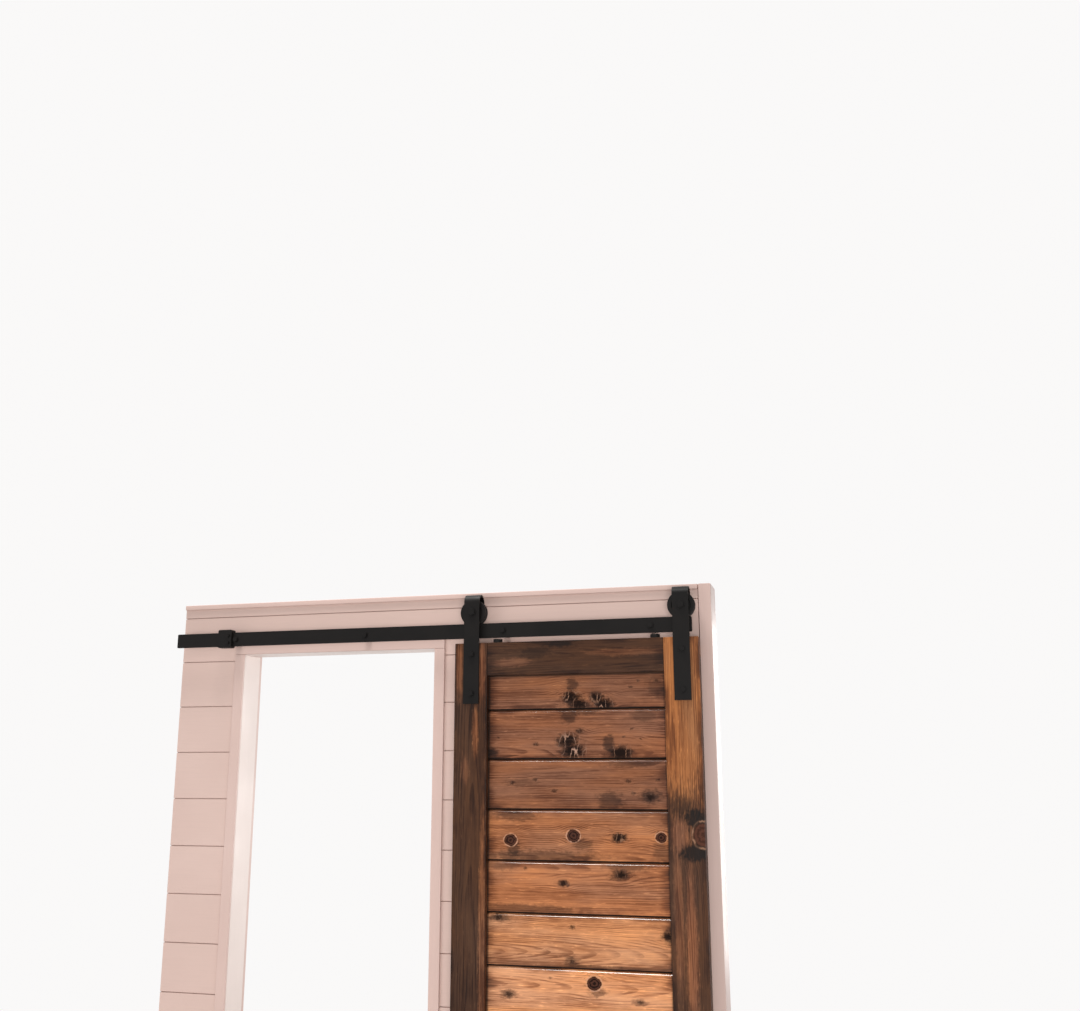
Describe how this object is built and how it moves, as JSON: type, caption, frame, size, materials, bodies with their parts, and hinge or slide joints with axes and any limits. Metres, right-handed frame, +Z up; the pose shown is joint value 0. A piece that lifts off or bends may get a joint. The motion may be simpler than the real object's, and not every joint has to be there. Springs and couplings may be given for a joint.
{
  "type": "sliding plank door on a flat-bar track in a shiplap wall bay",
  "caption": "Framed plank door that hangs by strap hangers and grooved wheels from a flat-bar track and slides over a cased doorway in a shiplap wall.",
  "frame": {"origin": "at the foot of the wall, under the centre of the open door and at half the wall's thickness", "axes": "+X to the right along the wall seen from the door side, +Y into the wall away from the door, +Z up"},
  "size_m": [1.5705, 0.1715, 2.08],
  "materials": {
    "painted_boards": "painted satin",
    "wall_core": "painted satin",
    "painted_trim": "painted satin",
    "stained_planks": "stained knotty pine, satin",
    "stained_frame": "dark stained pine, satin",
    "black_steel": "matt powder coat",
    "wheel_steel": "satin powder coat"
  },
  "bodies": {
    "wall": {"wall_left": "wall_core", "wall_right": "wall_core", "wall_over_door": "wall_core", "front_shiplap": "painted_boards", "back_shiplap": "painted_boards", "jamb_left": "painted_trim", "jamb_right": "painted_trim", "head_jamb": "painted_trim", "front_casing_left": "painted_trim", "front_casing_right": "painted_trim", "front_head_casing": "painted_trim", "back_casing_left": "painted_trim", "back_casing_right": "painted_trim", "back_head_casing": "painted_trim", "front_corner_board": "painted_trim", "back_corner_board": "painted_trim", "end_board": "painted_boards", "ceiling_strip": "painted_trim", "track": "black_steel", "track_spacers": "black_steel", "lag_bolts": "black_steel", "end_stop": "black_steel", "floor_guide": "black_steel"},
    "door": {"stile_left": "stained_frame", "stile_right": "stained_frame", "top_rail": "stained_frame", "bottom_rail": "stained_frame", "door_board_1": "stained_planks", "door_board_2": "stained_planks", "door_board_3": "stained_planks", "door_board_4": "stained_planks", "door_board_5": "stained_planks", "door_board_6": "stained_planks", "door_board_7": "stained_planks", "door_board_8": "stained_planks", "door_board_9": "stained_planks", "door_board_10": "stained_planks", "door_board_11": "stained_planks", "door_board_12": "stained_planks", "door_board_13": "stained_planks", "door_board_14": "stained_planks", "door_board_15": "stained_planks", "door_board_16": "stained_planks", "hanger_left": "black_steel", "hanger_right": "black_steel", "axle_left": "black_steel", "axle_right": "black_steel", "hanger_bolts": "black_steel", "anti_jump_discs": "black_steel"},
    "left_roller": {"wheel_left": "wheel_steel"},
    "right_roller": {"wheel_right": "wheel_steel"}
  },
  "joints": [
    {"name": "door_slide", "type": "slide", "parent": "wall", "child": "door", "axis": [-1, 0, 0], "range_m": [0, 0.705]},
    {"name": "left_wheel_spin", "type": "hinge", "parent": "door", "child": "left_roller", "pos_m": [-0.2845, -0.07945, 2.02], "axis": [0, 1, 0], "continuous": true},
    {"name": "right_wheel_spin", "type": "hinge", "parent": "door", "child": "right_roller", "pos_m": [0.2885, -0.07945, 2.02], "axis": [0, 1, 0], "continuous": true}
  ],
  "couplings": [
    {"joint": "left_wheel_spin", "follows": "door_slide", "rad_per_m": -33.333},
    {"joint": "right_wheel_spin", "follows": "door_slide", "rad_per_m": -33.333}
  ]
}
